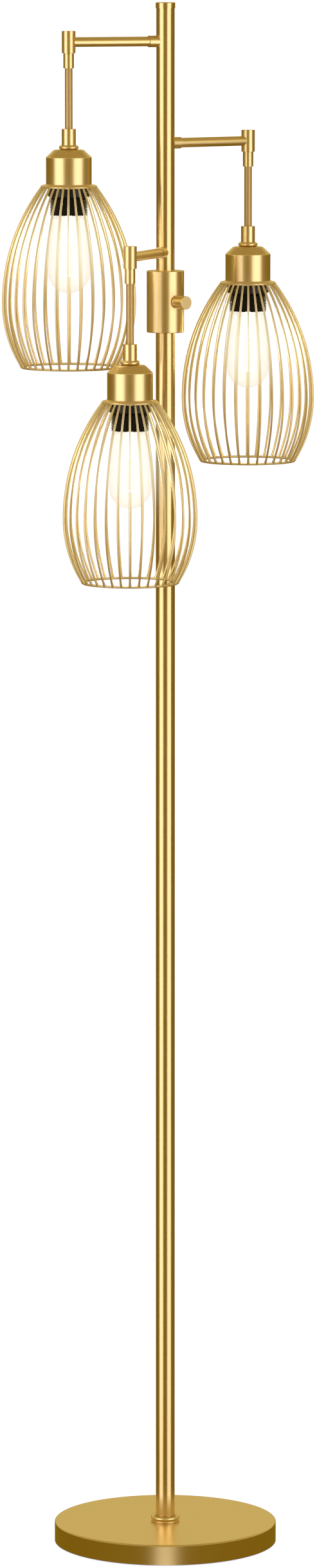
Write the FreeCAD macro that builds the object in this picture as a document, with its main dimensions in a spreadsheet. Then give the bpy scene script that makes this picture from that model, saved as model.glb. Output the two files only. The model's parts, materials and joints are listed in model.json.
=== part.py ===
import FreeCAD, Part
import math
import os

import Sketcher

# Wire cage floor lamp. Millimetres and degrees, +Z up, origin at the centre of the base's
# resting face. The photographed front looks towards -Y, and +X is the viewer's right.
# Heights on the stand are chained from the floor up. Each hanging head has a frame of its own,
# whose origin is where the arm's axis meets the vertical axis of the tee.

os.makedirs("parts", exist_ok=True)
doc = FreeCAD.newDocument("wire_cage_floor_lamp")
dims = doc.addObject("Spreadsheet::Sheet", "dims")

SIZES = {
    # round weighted base
    "base_radius": 117.5,
    "base_height": 22.0,
    "cover_wall": 1.2,
    "cover_edge_round": 1.5,
    "cover_floor_gap": 0.6,
    "pad_inset": 5.5,
    "pad_thickness": 1.5,
    "nut_recess_roof": 16.0,
    "bead_radius": 15.3,
    "bead_height": 5.0,
    "bead_round": 2.3,
    # cable inlet at the back of the base
    "inlet_height": 7.2,
    "inlet_radius": 4.6,
    "inlet_lip_radius": 5.9,
    "inlet_lip_thickness": 1.0,
    "inlet_depth": 4.0,
    # pole
    "pole_radius": 10.0,
    "pole_bore": 8.5,
    "pole_section_count": 3,
    "pole_section_length": 420.9,
    "upper_pole_radius": 9.5,
    "upper_pole_length": 271.1,
    "cap_rim_radius": 10.1,
    "cap_rim_height": 6.0,
    "cap_rim_round": 0.6,
    "cap_spigot_length": 8.0,
    "cap_spigot_wall": 1.2,
    "cap_lid_thickness": 1.2,
    # threaded joiners and their lock nuts
    "joiner_length": 24.0,
    "joiner_wall": 2.4,
    "joiner_end": 1.0,
    "upper_joiner_reach": 12.0,
    "nut_radius": 13.6,
    "nut_height": 4.0,
    "nut_tool_room": 2.4,
    # switch housing with its dimmer
    "housing_radius": 19.45,
    "housing_height": 64.2,
    "housing_wall": 1.5,
    "housing_roof": 2.0,
    "housing_edge_round": 0.8,
    "lid_thickness": 2.5,
    "lid_spigot_height": 2.8,
    "lid_spigot_wall": 1.4,
    "knob_rise": 32.2,
    "knob_azimuth": -53.0,
    "knob_radius": 6.9,
    "knob_length": 16.2,
    "knob_gap": 0.5,
    "knob_edge_round": 0.5,
    "knob_socket_depth": 11.0,
    "dimmer_inset": 3.5,
    "dimmer_depth": 11.5,
    "dimmer_width": 18.0,
    "dimmer_height": 20.0,
    "bush_radius": 4.7,
    "shaft_radius": 3.0,
    "shaft_inset": 8.0,
    # arms
    "arm_length": 106.0,
    "arm_radius": 5.0,
    "arm_bore": 4.0,
    "arm_stub": 0.7,
    "boss_radius": 6.0,
    "boss_length": 9.0,
    "arm_rise_1": 237.0,
    "arm_rise_2": 132.0,
    "arm_rise_3": 19.0,
    "arm_azimuth_1": 199.7,
    "arm_azimuth_2": 35.3,
    "arm_azimuth_3": 249.9,
    # tee at the end of each arm
    "tee_radius": 7.0,
    "tee_bore": 5.5,
    "tee_height": 22.7,
    "tee_floor": 4.4,
    "plug_thickness": 2.5,
    # hanging rod with its sleeves
    "rod_radius": 4.0,
    "rod_bore": 2.5,
    "rod_length": 99.0,
    "flange_radius": 5.2,
    "flange_thickness": 2.0,
    "sleeve_radius": 5.5,
    "sleeve_length": 15.1,
    "coupler_radius": 7.3,
    "coupler_length": 16.6,
    "coupler_depth": 14.8,
    "coupler_bead_radius": 10.1,
    "coupler_bead_height": 4.7,
    "coupler_bead_round": 2.2,
    "nipple_radius": 5.0,
    "nipple_length": 13.5,
    # socket cap
    "cap_radius": 23.6,
    "cap_top_radius": 15.5,
    "cap_shoulder": 7.7,
    "cap_height": 35.4,
    "cap_wall": 1.0,
    "cap_top_round": 4.0,
    "cap_shoulder_round": 1.2,
    # lamp socket
    "socket_radius": 19.7,
    "socket_length": 66.5,
    "socket_neck_radius": 8.5,
    "socket_neck_length": 7.0,
    "socket_shoulder": 5.0,
    "socket_bore": 14.4,
    "socket_bore_depth": 30.0,
    "thread_pitch": 2.8,
    "thread_depth": 0.9,
    "thread_count": 11,
    "ring_radius": 21.7,
    "ring_height": 12.0,
    "ring_edge_round": 0.8,
    "shell_thickness": 0.5,
    "shell_length": 24.0,
    "contact_radius": 5.0,
    "contact_height": 2.0,
    # wire cage
    "wire_count": 34,
    "wire_radius": 1.1,
    "rim_wire_radius": 1.3,
    "collar_thickness": 1.0,
    "collar_flat_radius": 24.0,
    "collar_rim_radius": 28.0,
    "collar_flare": 2.2,
    "cage_belly_radius": 68.6,
    "cage_belly_drop": 120.0,
    "cage_mouth_radius": 49.0,
    "cage_mouth_drop": 66.4,
    # light bulb
    "bulb_radius": 22.3,
    "bulb_neck_radius": 11.9,
    "bulb_neck_foot": 1.0,
    "bulb_shoulder_radius": 19.0,
    "bulb_shoulder_drop": 6.0,
    "bulb_belly_drop": 40.0,
    "neck_flare_low": 0.6,
    "neck_flare_high": 0.1,
    "side_bow_low": 0.2,
    "side_bow_high": 0.5,
    "bulb_length": 80.6,
    "bulb_wall": 0.8,
    "bulb_cap_radius": 13.0,
    "bulb_cap_length": 23.0,
    "bulb_cap_wall": 1.0,
    "bulb_thread_pitch": 3.63,
    "bulb_thread_depth": 0.6,
    "bulb_thread_count": 4,
    "bulb_cap_tip_radius": 4.5,
    "bulb_cap_tip_height": 3.0,
    "bulb_neck_seat": 5.0,
    "stem_radius": 3.0,
    "stem_length": 34.0,
    "filament_radius": 0.9,
    "filament_length": 34.0,
    "filament_circle": 6.5,
    "filament_count": 4,
    "filament_plate": 1.0,
    # wiring
    "supply_lead_radius": 2.5,
    "supply_lead_level": 4.6,
    "supply_bend": 14.0,
    "supply_entry_run": 12.0,
    "supply_slope_run": 28.0,
    "supply_terminal_inset": 3.0,
    "lead_end_run": 3.0,
    "lead_climb": 9.0,
    "arm_lead_radius": 1.2,
    "arm_lead_bend": 8.0,
    "tee_lead_bend": 6.0,
    "arm_lead_offset": 4.2,
    "arm_lead_side_1": 2.0,
    "arm_lead_side_2": 0.0,
    "arm_lead_side_3": 0.5,
    "arm_terminal_inset": 4.5,
    "terminal_pitch": 4.5,
    "lead_split_drop": 8.0,
    # clearances
    "fit": 0.1,
    "running_fit": 0.05,
    "swivel_gap": 0.3,
    "loose_fit": 0.3,
}

for line, (alias, value) in enumerate(SIZES.items(), start=1):
    dims.set(f"A{line}", alias.replace("_", " "))
    dims.set(f"B{line}", str(value))
    dims.setAlias(f"B{line}", alias)
doc.recompute()


def size(alias):
    """The value of one named size."""
    return float(dims.get(alias))


ARMS = ("1", "2", "3")
ARM_TERMINALS = {"1": 0, "2": -1, "3": 1}
SECTIONS = range(1, int(size("pole_section_count")) + 1)
FACING_BACK = FreeCAD.Rotation(FreeCAD.Vector(1, 0, 0), -90)
NATURAL_BEND_SHARE = 0.45
SAME_PLACE = 1e-4


# ---------------------------------------------------------------------------------------------
# Heights as expressions of the sheet, chained along what carries what
# ---------------------------------------------------------------------------------------------

LID_LEVEL = "(dims.base_height + dims.pole_section_count * dims.pole_section_length)"
SEAM_LEVEL = f"({LID_LEVEL} + dims.lid_thickness)"
ROOF_LEVEL = f"({LID_LEVEL} + dims.housing_height)"
POLE_TOP = f"({ROOF_LEVEL} + dims.upper_pole_length)"
KNOB_LEVEL = f"({LID_LEVEL} + dims.knob_rise)"
JOINER_RADIUS = "(dims.pole_bore - dims.fit)"
JOINER_HOLE = f"({JOINER_RADIUS} + dims.fit)"
NUT_ROOM = "(dims.nut_radius + dims.nut_tool_room)"

# In the frame of a head, where the arm's axis is at zero:
FLANGE_SEAT = "(dims.tee_floor - dims.tee_height / 2)"
FLANGE_TOP = f"({FLANGE_SEAT} + dims.flange_thickness)"
SLEEVE_TOP = "(-dims.tee_height / 2 - dims.swivel_gap)"
ROD_FOOT = f"({FLANGE_TOP} - dims.rod_length)"
COUPLER_TOP = f"({ROD_FOOT} + dims.coupler_depth)"
CAP_TOP = f"({COUPLER_TOP} - dims.coupler_length - dims.coupler_bead_height)"
COLLAR_TOP = f"({CAP_TOP} - dims.cap_height)"
RING_TOP = f"({COLLAR_TOP} - dims.collar_thickness)"
SOCKET_TOP = f"({CAP_TOP} - dims.cap_wall)"
SOCKET_MOUTH = f"({SOCKET_TOP} - dims.socket_length)"
BULB_SEAT = f"({SOCKET_MOUTH} + dims.socket_bore_depth - dims.contact_height)"
BULB_RIM = f"({BULB_SEAT} - dims.bulb_cap_tip_height - dims.bulb_cap_length)"


def arm_level(arm):
    """Height of an arm's axis above the floor."""
    return f"({ROOF_LEVEL} + dims.arm_rise_{arm})"


def head_level(arm, level):
    """A height in a head's own frame, measured from the floor."""
    return f"{arm_level(arm)} + {level}"


probe = doc.addObject("App::FeaturePython", "probe")
probe.addProperty("App::PropertyFloat", "Distance")


def measured(expression):
    """The number that an expression of the sheet comes to."""
    probe.setExpression("Distance", expression)
    probe.recompute()
    return float(probe.Distance)


# ---------------------------------------------------------------------------------------------
# Ways of making a piece
# ---------------------------------------------------------------------------------------------

def place(piece, x="0", y="0", z="0"):
    """Bind the place of a piece to expressions of the sheet."""
    piece.setExpression("Placement.Base.x", x)
    piece.setExpression("Placement.Base.y", y)
    piece.setExpression("Placement.Base.z", z)
    return piece


def hang(piece, arm, level):
    """Place a piece on the vertical axis at the end of an arm."""
    reach = "dims.arm_length"
    angle = f"dims.arm_azimuth_{arm}"
    return place(piece, f"{reach} * cos({angle})", f"{reach} * sin({angle})", head_level(arm, level))


def point_out(piece, azimuth, reach, level):
    """Point the Z axis of a piece away from the pole at an azimuth, at a reach from the axis."""
    piece.Placement = FreeCAD.Placement(FreeCAD.Vector(), FreeCAD.Rotation(size(azimuth), 90, 0))
    angle = f"dims.{azimuth}"
    return place(piece, f"({reach}) * cos({angle})", f"({reach}) * sin({angle})", level)


def turned(name, profile, rounds=()):
    """A body turned about its Z axis from a closed profile of (radius, height) expressions.

    rounds lists the (radius, height) of circular edges to round, each with its fillet's size.
    """
    body = doc.addObject("PartDesign::Body", name)
    body.Label = name
    plane = next(item for item in body.Origin.OriginFeatures if item.Role == "XZ_Plane")
    sketch = body.newObject("Sketcher::SketchObject", f"{name}_profile")
    sketch.AttachmentSupport = [(plane, "")]
    sketch.MapMode = "FlatFace"
    corners = [FreeCAD.Vector(measured(radius), measured(height), 0) for radius, height in profile]
    for index, corner in enumerate(corners):
        following = corners[(index + 1) % len(corners)]
        sketch.addGeometry(Part.LineSegment(corner, following), False)
    for index, (radius, height) in enumerate(profile):
        following = (index + 1) % len(profile)
        sketch.addConstraint(Sketcher.Constraint("Coincident", index, 2, following, 1))
        if radius == "0":
            sketch.addConstraint(Sketcher.Constraint("PointOnObject", index, 1, -2))
        else:
            across = Sketcher.Constraint("DistanceX", index, 1, corners[index].x)
            bind(sketch, across, f"radius_{index}", radius)
        up = Sketcher.Constraint("DistanceY", index, 1, corners[index].y)
        bind(sketch, up, f"height_{index}", height)
    revolution = body.newObject("PartDesign::Revolution", f"{name}_turning")
    revolution.Profile = sketch
    revolution.ReferenceAxis = (sketch, ["V_Axis"])
    revolution.Angle = 360
    for number, (radius, height, fillet_size) in enumerate(rounds):
        doc.recompute()
        round_edge(body, f"{name}_round_{number}", measured(radius), measured(height), fillet_size)
    return body


def bind(sketch, constraint, name, expression):
    """Add a named dimension to a sketch and bind it to the sheet."""
    index = sketch.addConstraint(constraint)
    sketch.renameConstraint(index, name)
    sketch.setExpression(f"Constraints.{name}", expression)


def round_edge(body, name, radius, height, fillet_size):
    """Round the circular edge of a turned body that has this radius and height."""
    base = body.Tip
    edges = []
    for number, edge in enumerate(base.Shape.Edges, start=1):
        middle = edge.Vertexes[0].Point
        on_circle = abs(math.hypot(middle.x, middle.y) - radius) < SAME_PLACE
        level = abs(middle.z - height) < SAME_PLACE
        closed = len(edge.Vertexes) == 1
        if closed and on_circle and level:
            edges.append(f"Edge{number}")
    fillet = body.newObject("PartDesign::Fillet", name)
    fillet.Base = (base, edges)
    fillet.setExpression("Radius", fillet_size)
    body.Tip = fillet


def cylinder(name, radius, height, z="0"):
    """An upright cylinder, for a boolean."""
    solid = doc.addObject("Part::Cylinder", name)
    solid.setExpression("Radius", radius)
    solid.setExpression("Height", height)
    return place(solid, z=z)


def spoke(name, radius, length, azimuth, reach, level):
    """A level cylinder that points away from the pole."""
    return point_out(cylinder(name, radius, length), azimuth, reach, level)


def cut(name, base, *tools):
    """One solid less others."""
    tool = tools[0]
    if len(tools) > 1:
        tool = doc.addObject("Part::MultiFuse", f"{name}_tools")
        tool.Shapes = list(tools)
    result = doc.addObject("Part::Cut", name)
    result.Base = base
    result.Tool = tool
    result.Label = name
    return result


def fuse(name, *members):
    """Several solids joined into one."""
    result = doc.addObject("Part::MultiFuse", name)
    result.Shapes = list(members)
    result.Label = name
    return result


def group(name, members):
    """Separate solids that share one node."""
    result = doc.addObject("Part::Compound", name)
    result.Links = members
    result.Label = name
    return result


def tube(name, outer, bore, length):
    """An upright tube that stands on zero."""
    return cut(
        name,
        cylinder(f"{name}_outside", outer, length),
        cylinder(f"{name}_bore", bore, length),
    )


def feature(name, shape):
    """A piece whose shape is worked out in code from the sheet's values."""
    piece = doc.addObject("Part::Feature", name)
    piece.Label = name
    piece.Shape = shape
    return piece


# ---------------------------------------------------------------------------------------------
# Base
# ---------------------------------------------------------------------------------------------

def base_pad():
    """Soft disc that the lamp stands on."""
    pad = cylinder("base_pad", "dims.base_radius - dims.pad_inset", "dims.pad_thickness")
    pad.Label = "base_pad"
    return pad


def base_weight():
    """Cast disc with a bore for the foot joiner, a recess for its nut and a channel for the lead."""
    body_height = "dims.base_height - dims.cover_wall - dims.pad_thickness"
    disc = cylinder(
        "weight_disc",
        "dims.base_radius - dims.cover_wall - dims.loose_fit",
        body_height,
        "dims.pad_thickness",
    )
    bore = cylinder("weight_bore", JOINER_HOLE, "dims.base_height")
    recess = cylinder("weight_recess", NUT_ROOM, "dims.nut_recess_roof")
    half_width = "(dims.inlet_radius + dims.loose_fit)"
    channel = doc.addObject("Part::Box", "weight_channel")
    channel.setExpression("Length", f"2 * {half_width}")
    channel.setExpression("Width", "dims.base_radius")
    channel.setExpression("Height", f"dims.inlet_height + {half_width}")
    place(channel, x=f"-{half_width}")
    return cut("base_weight", disc, bore, recess, channel)


def base_cover():
    """Spun shell over the weight, with a round hole for the cable inlet at the back."""
    inside = "dims.base_radius - dims.cover_wall"
    ceiling = "dims.base_height - dims.cover_wall"
    shell = turned(
        "base_cover_shell",
        [
            (JOINER_HOLE, "dims.base_height"),
            ("dims.base_radius", "dims.base_height"),
            ("dims.base_radius", "dims.cover_floor_gap"),
            (inside, "dims.cover_floor_gap"),
            (inside, ceiling),
            (JOINER_HOLE, ceiling),
        ],
        rounds=[("dims.base_radius", "dims.base_height", "dims.cover_edge_round")],
    )
    drill = back_drill("inlet_hole", "dims.inlet_radius")
    return cut("base_cover", shell, drill)


def back_drill(name, radius):
    """A level cylinder through the back wall of the base, at the height of the inlet."""
    solid = doc.addObject("Part::Cylinder", name)
    solid.setExpression("Radius", radius)
    solid.setExpression("Height", "dims.base_radius")
    solid.Placement = FreeCAD.Placement(FreeCAD.Vector(), FACING_BACK)
    return place(solid, y="dims.base_radius / 2", z="dims.inlet_height")


def cord_bush():
    """Flanged bush in the back wall of the base, through which the supply cable comes in."""
    bush = turned(
        "cord_bush",
        [
            ("dims.supply_lead_radius + dims.loose_fit", "dims.inlet_lip_thickness"),
            ("dims.inlet_lip_radius", "dims.inlet_lip_thickness"),
            ("dims.inlet_lip_radius", "0"),
            ("dims.inlet_radius - dims.fit", "0"),
            ("dims.inlet_radius - dims.fit", "-dims.inlet_depth"),
            ("dims.supply_lead_radius + dims.loose_fit", "-dims.inlet_depth"),
        ],
    )
    bush.Placement = FreeCAD.Placement(FreeCAD.Vector(), FACING_BACK)
    return place(bush, y="dims.base_radius", z="dims.inlet_height")


def base_bead():
    """Rounded ring round the foot of the pole."""
    return place(
        turned(
            "base_bead",
            [
                ("dims.pole_radius + dims.fit", "0"),
                ("dims.bead_radius", "0"),
                ("dims.bead_radius", "dims.bead_height"),
                ("dims.pole_radius + dims.fit", "dims.bead_height"),
            ],
            rounds=[
                ("dims.bead_radius", "0", "dims.bead_round"),
                ("dims.bead_radius", "dims.bead_height", "dims.bead_round"),
            ],
        ),
        z="dims.base_height",
    )


# ---------------------------------------------------------------------------------------------
# Pole
# ---------------------------------------------------------------------------------------------

def pole_tube(section):
    """One of the equal tubes that are screwed together into the lower pole."""
    piece = tube(
        f"pole_tube_{section}", "dims.pole_radius", "dims.pole_bore", "dims.pole_section_length"
    )
    return place(piece, z=f"dims.base_height + {section - 1} * dims.pole_section_length")


def pole_joiners():
    """Threaded sleeves inside the pole: at the foot, at each seam and at the housing's roof."""
    foot = "dims.nut_recess_roof - dims.nut_height - dims.joiner_end"
    seams = [
        f"dims.base_height + {section} * dims.pole_section_length - dims.joiner_length / 2"
        for section in SECTIONS
    ]
    roof = f"{ROOF_LEVEL} + dims.upper_joiner_reach - dims.joiner_length"
    joiners = []
    for number, level in enumerate([foot, *seams, roof], start=1):
        joiner = tube(
            f"joiner_{number}", JOINER_RADIUS, f"{JOINER_RADIUS} - dims.joiner_wall", "dims.joiner_length"
        )
        joiners.append(place(joiner, z=level))
    return group("pole_joiners", joiners)


def lock_nuts():
    """Three like nuts that hold the base and the two ends of the housing to the joiners."""
    levels = [
        "dims.nut_recess_roof - dims.nut_height",
        SEAM_LEVEL,
        f"{ROOF_LEVEL} - dims.housing_roof - dims.nut_height",
    ]
    nuts = []
    for number, level in enumerate(levels, start=1):
        blank = doc.addObject("Part::Prism", f"nut_blank_{number}")
        blank.Polygon = 6
        blank.setExpression("Circumradius", "dims.nut_radius")
        blank.setExpression("Height", "dims.nut_height")
        bore = cylinder(f"nut_bore_{number}", f"{JOINER_RADIUS} + dims.running_fit", "dims.nut_height")
        nuts.append(place(cut(f"nut_{number}", blank, bore), z=level))
    return group("lock_nuts", nuts)


def upper_tube():
    """Slimmer tube that carries the arms, with a round hole for each of them."""
    blank = tube(
        "upper_tube_blank", "dims.upper_pole_radius", "dims.pole_bore", "dims.upper_pole_length"
    )
    place(blank, z=ROOF_LEVEL)
    drills = [
        spoke(
            f"arm_hole_{arm}",
            "dims.arm_radius + dims.fit",
            "2 * dims.upper_pole_radius",
            f"arm_azimuth_{arm}",
            "0",
            arm_level(arm),
        )
        for arm in ARMS
    ]
    return cut("upper_tube", blank, *drills)


def pole_cap():
    """Cap with a narrow rim that closes the top of the pole."""
    spigot = JOINER_RADIUS
    hollow = f"{JOINER_RADIUS} - dims.cap_spigot_wall"
    ceiling = "dims.cap_rim_height - dims.cap_lid_thickness"
    cap = turned(
        "pole_cap",
        [
            ("0", "dims.cap_rim_height"),
            ("dims.cap_rim_radius", "dims.cap_rim_height"),
            ("dims.cap_rim_radius", "0"),
            (spigot, "0"),
            (spigot, "-dims.cap_spigot_length"),
            (hollow, "-dims.cap_spigot_length"),
            (hollow, ceiling),
            ("0", ceiling),
        ],
        rounds=[("dims.cap_rim_radius", "dims.cap_rim_height", "dims.cap_rim_round")],
    )
    return place(cap, z=POLE_TOP)


# ---------------------------------------------------------------------------------------------
# Switch housing and dimmer
# ---------------------------------------------------------------------------------------------

def switch_housing():
    """Drum in the line of the pole, closed at the top and bored for the dimmer's bush."""
    inside = "dims.housing_radius - dims.housing_wall"
    top = "dims.housing_height - dims.lid_thickness"
    ceiling = f"{top} - dims.housing_roof"
    drum = turned(
        "housing_drum",
        [
            ("dims.housing_radius", "0"),
            ("dims.housing_radius", top),
            (JOINER_HOLE, top),
            (JOINER_HOLE, ceiling),
            (inside, ceiling),
            (inside, "0"),
        ],
        rounds=[("dims.housing_radius", top, "dims.housing_edge_round")],
    )
    place(drum, z=SEAM_LEVEL)
    drill = spoke(
        "bush_hole",
        "dims.bush_radius + dims.running_fit",
        "2 * dims.housing_radius",
        "knob_azimuth",
        "0",
        KNOB_LEVEL,
    )
    return cut("switch_housing", drum, drill)


def housing_lid():
    """Bottom of the housing, which stands on the lower pole and locates the drum."""
    spigot_outside = "dims.housing_radius - dims.housing_wall - dims.fit"
    spigot_inside = f"{spigot_outside} - dims.lid_spigot_wall"
    spigot_top = "dims.lid_thickness + dims.lid_spigot_height"
    lid = turned(
        "housing_lid",
        [
            (JOINER_HOLE, "0"),
            ("dims.housing_radius", "0"),
            ("dims.housing_radius", "dims.lid_thickness"),
            (spigot_outside, "dims.lid_thickness"),
            (spigot_outside, spigot_top),
            (spigot_inside, spigot_top),
            (spigot_inside, "dims.lid_thickness"),
            (JOINER_HOLE, "dims.lid_thickness"),
        ],
        rounds=[("dims.housing_radius", "0", "dims.housing_edge_round")],
    )
    return place(lid, z=LID_LEVEL)


def dimmer_body():
    """Rotary dimmer inside the housing, with the bush that screws into the drum's wall."""
    case = doc.addObject("Part::Box", "dimmer_case")
    case.setExpression("Length", "dims.dimmer_height")
    case.setExpression("Width", "dims.dimmer_width")
    case.setExpression("Height", "dims.dimmer_depth")
    place(case, "-dims.dimmer_height / 2", "-dims.dimmer_width / 2", "dims.dimmer_inset")
    bush_foot = "dims.dimmer_inset + dims.dimmer_depth"
    bush = cylinder("dimmer_bush", "dims.bush_radius", f"dims.housing_radius - ({bush_foot})", bush_foot)
    bore = cylinder(
        "dimmer_bore",
        "dims.shaft_radius + dims.running_fit",
        "dims.housing_radius",
        "dims.shaft_inset - dims.fit",
    )
    body = cut("dimmer_body", fuse("dimmer_blank", case, bush), bore)
    return point_out(body, "knob_azimuth", "0", KNOB_LEVEL)


def dimmer_shaft():
    """Shaft that turns in the dimmer's bush and carries the knob."""
    length = "dims.housing_radius + dims.knob_gap + dims.knob_socket_depth - dims.shaft_inset"
    shaft = spoke(
        "dimmer_shaft", "dims.shaft_radius", length, "knob_azimuth", "dims.shaft_inset", KNOB_LEVEL
    )
    shaft.Label = "dimmer_shaft"
    return shaft


def dimmer_knob():
    """Plain round knob on the dimmer's shaft."""
    bore = "dims.shaft_radius + dims.running_fit"
    knob = turned(
        "dimmer_knob",
        [
            (bore, "0"),
            ("dims.knob_radius", "0"),
            ("dims.knob_radius", "dims.knob_length"),
            ("0", "dims.knob_length"),
            ("0", "dims.knob_socket_depth"),
            (bore, "dims.knob_socket_depth"),
        ],
        rounds=[("dims.knob_radius", "dims.knob_length", "dims.knob_edge_round")],
    )
    return point_out(knob, "knob_azimuth", "dims.housing_radius + dims.knob_gap", KNOB_LEVEL)


# ---------------------------------------------------------------------------------------------
# Arms
# ---------------------------------------------------------------------------------------------

def tee_blank(name, arm, radius):
    """An upright cylinder where the tee of an arm stands."""
    return hang(cylinder(name, radius, "dims.tee_height"), arm, "(-dims.tee_height / 2)")


def arm_tube(arm):
    """Level tube from inside the pole to the side of its tee."""
    start = "dims.pole_bore - dims.arm_stub"
    outside = spoke(
        f"arm_outside_{arm}",
        "dims.arm_radius",
        f"dims.arm_length - ({start})",
        f"arm_azimuth_{arm}",
        start,
        arm_level(arm),
    )
    bore = spoke(
        f"arm_bore_{arm}", "dims.arm_bore", "dims.arm_length", f"arm_azimuth_{arm}", "0", arm_level(arm)
    )
    return cut(f"arm_tube_{arm}", outside, bore, tee_blank(f"arm_end_{arm}", arm, "dims.tee_radius"))


def arm_fitting(arm):
    """Collar round the arm where it enters the pole, shaped to the pole's outside."""
    outside = spoke(
        f"fitting_outside_{arm}",
        "dims.boss_radius",
        "dims.upper_pole_radius + dims.boss_length",
        f"arm_azimuth_{arm}",
        "0",
        arm_level(arm),
    )
    bore = spoke(
        f"fitting_bore_{arm}",
        "dims.arm_radius + dims.running_fit",
        "dims.arm_length",
        f"arm_azimuth_{arm}",
        "0",
        arm_level(arm),
    )
    pole = cylinder(f"fitting_seat_{arm}", "dims.upper_pole_radius", "dims.upper_pole_length", ROOF_LEVEL)
    return cut(f"arm_fitting_{arm}", outside, bore, pole)


def arm_tee(arm):
    """Upright sleeve at the arm's end, with a floor that the hanging rod's flange rests on."""
    blank = tee_blank(f"tee_blank_{arm}", arm, "dims.tee_radius")
    chamber = hang(cylinder(f"tee_chamber_{arm}", "dims.tee_bore", "dims.tee_height"), arm, FLANGE_SEAT)
    hole = tee_blank(f"tee_hole_{arm}", arm, "dims.rod_radius + dims.fit")
    side = spoke(
        f"tee_side_{arm}", "dims.arm_bore", "dims.arm_length", f"arm_azimuth_{arm}", "0", arm_level(arm)
    )
    return cut(f"arm_tee_{arm}", blank, chamber, hole, side)


def tee_plug(arm):
    """Disc that closes the top of a tee."""
    plug = cylinder(f"tee_plug_{arm}", "dims.tee_bore - dims.running_fit", "dims.plug_thickness")
    return hang(plug, arm, "(dims.tee_height / 2 - dims.plug_thickness)")


# ---------------------------------------------------------------------------------------------
# Hanging rod, its sleeves and the socket
# ---------------------------------------------------------------------------------------------

def swivel_sleeve(arm):
    """Sleeve on the rod just under the tee, which keeps the rod from lifting."""
    bore = "dims.rod_radius + dims.running_fit"
    sleeve = tube(f"swivel_sleeve_{arm}", "dims.sleeve_radius", bore, "dims.sleeve_length")
    return hang(sleeve, arm, f"{SLEEVE_TOP} - dims.sleeve_length")


def drop_rod(arm):
    """Hollow rod whose flange turns on the floor inside the tee."""
    rod = turned(
        f"drop_rod_{arm}",
        [
            ("dims.rod_bore", "0"),
            ("dims.flange_radius", "0"),
            ("dims.flange_radius", "-dims.flange_thickness"),
            ("dims.rod_radius", "-dims.flange_thickness"),
            ("dims.rod_radius", "-dims.rod_length"),
            ("dims.rod_bore", "-dims.rod_length"),
        ],
    )
    return hang(rod, arm, FLANGE_TOP)


def drop_coupler(arm):
    """Sleeve that joins the rod to the socket, with a bead and a hollow nipple below it."""
    rod_room = "dims.rod_radius + dims.running_fit"
    bead_foot = "-dims.coupler_length - dims.coupler_bead_height"
    nipple_foot = f"{bead_foot} - dims.nipple_length"
    coupler = turned(
        f"drop_coupler_{arm}",
        [
            (rod_room, "0"),
            ("dims.coupler_radius", "0"),
            ("dims.coupler_radius", "-dims.coupler_length"),
            ("dims.coupler_bead_radius", "-dims.coupler_length"),
            ("dims.coupler_bead_radius", bead_foot),
            ("dims.nipple_radius", bead_foot),
            ("dims.nipple_radius", nipple_foot),
            ("dims.rod_bore", nipple_foot),
            ("dims.rod_bore", "-dims.coupler_depth"),
            (rod_room, "-dims.coupler_depth"),
        ],
        rounds=[
            ("dims.coupler_bead_radius", "-dims.coupler_length", "dims.coupler_bead_round"),
            ("dims.coupler_bead_radius", bead_foot, "dims.coupler_bead_round"),
        ],
    )
    return hang(coupler, arm, COUPLER_TOP)


def socket_cap(arm):
    """Spun cup over the lamp socket, with a rounded shoulder."""
    hole = "dims.nipple_radius + dims.fit"
    inside = "dims.cap_radius - dims.cap_wall"
    cap = turned(
        f"socket_cap_{arm}",
        [
            (hole, "0"),
            ("dims.cap_top_radius", "0"),
            ("dims.cap_radius", "-dims.cap_shoulder"),
            ("dims.cap_radius", "-dims.cap_height"),
            (inside, "-dims.cap_height"),
            (inside, "-dims.cap_shoulder - dims.cap_wall / 2"),
            ("dims.cap_top_radius - dims.cap_wall / 2", "-dims.cap_wall"),
            (hole, "-dims.cap_wall"),
        ],
        rounds=[
            ("dims.cap_top_radius", "0", "dims.cap_top_round"),
            ("dims.cap_radius", "-dims.cap_shoulder", "dims.cap_shoulder_round"),
        ],
    )
    return hang(cap, arm, CAP_TOP)


def socket_body(arm):
    """Moulded lamp socket, ringed with a thread below the neck and open at its mouth."""
    shoulder = "-dims.socket_neck_length - dims.socket_shoulder"
    mouth = "-dims.socket_length"
    floor = "-dims.socket_length + dims.socket_bore_depth"
    thread = []
    for turn in range(int(size("thread_count")), 0, -1):
        crest = f"{mouth} + {turn} * dims.thread_pitch"
        thread.append(("dims.socket_radius", crest))
        thread.append(("dims.socket_radius - dims.thread_depth", f"{crest} - dims.thread_pitch / 2"))
    nipple_room = "dims.nipple_radius + dims.running_fit"
    nipple_depth = "-dims.nipple_length"
    body = turned(
        f"socket_body_{arm}",
        [
            (nipple_room, "0"),
            ("dims.socket_neck_radius", "0"),
            ("dims.socket_neck_radius", "-dims.socket_neck_length"),
            ("dims.socket_radius", shoulder),
            *thread,
            ("dims.socket_radius", mouth),
            ("dims.socket_bore", mouth),
            ("dims.socket_bore", floor),
            ("dims.rod_bore", floor),
            ("dims.rod_bore", nipple_depth),
            (nipple_room, nipple_depth),
        ],
    )
    return hang(body, arm, SOCKET_TOP)


def socket_ring(arm):
    """Threaded ring that clamps the cage's collar against the cap."""
    bore = "dims.socket_radius + dims.running_fit"
    ring = turned(
        f"socket_ring_{arm}",
        [
            (bore, "0"),
            ("dims.ring_radius", "0"),
            ("dims.ring_radius", "-dims.ring_height"),
            (bore, "-dims.ring_height"),
        ],
        rounds=[("dims.ring_radius", "-dims.ring_height", "dims.ring_edge_round")],
    )
    return hang(ring, arm, RING_TOP)


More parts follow.
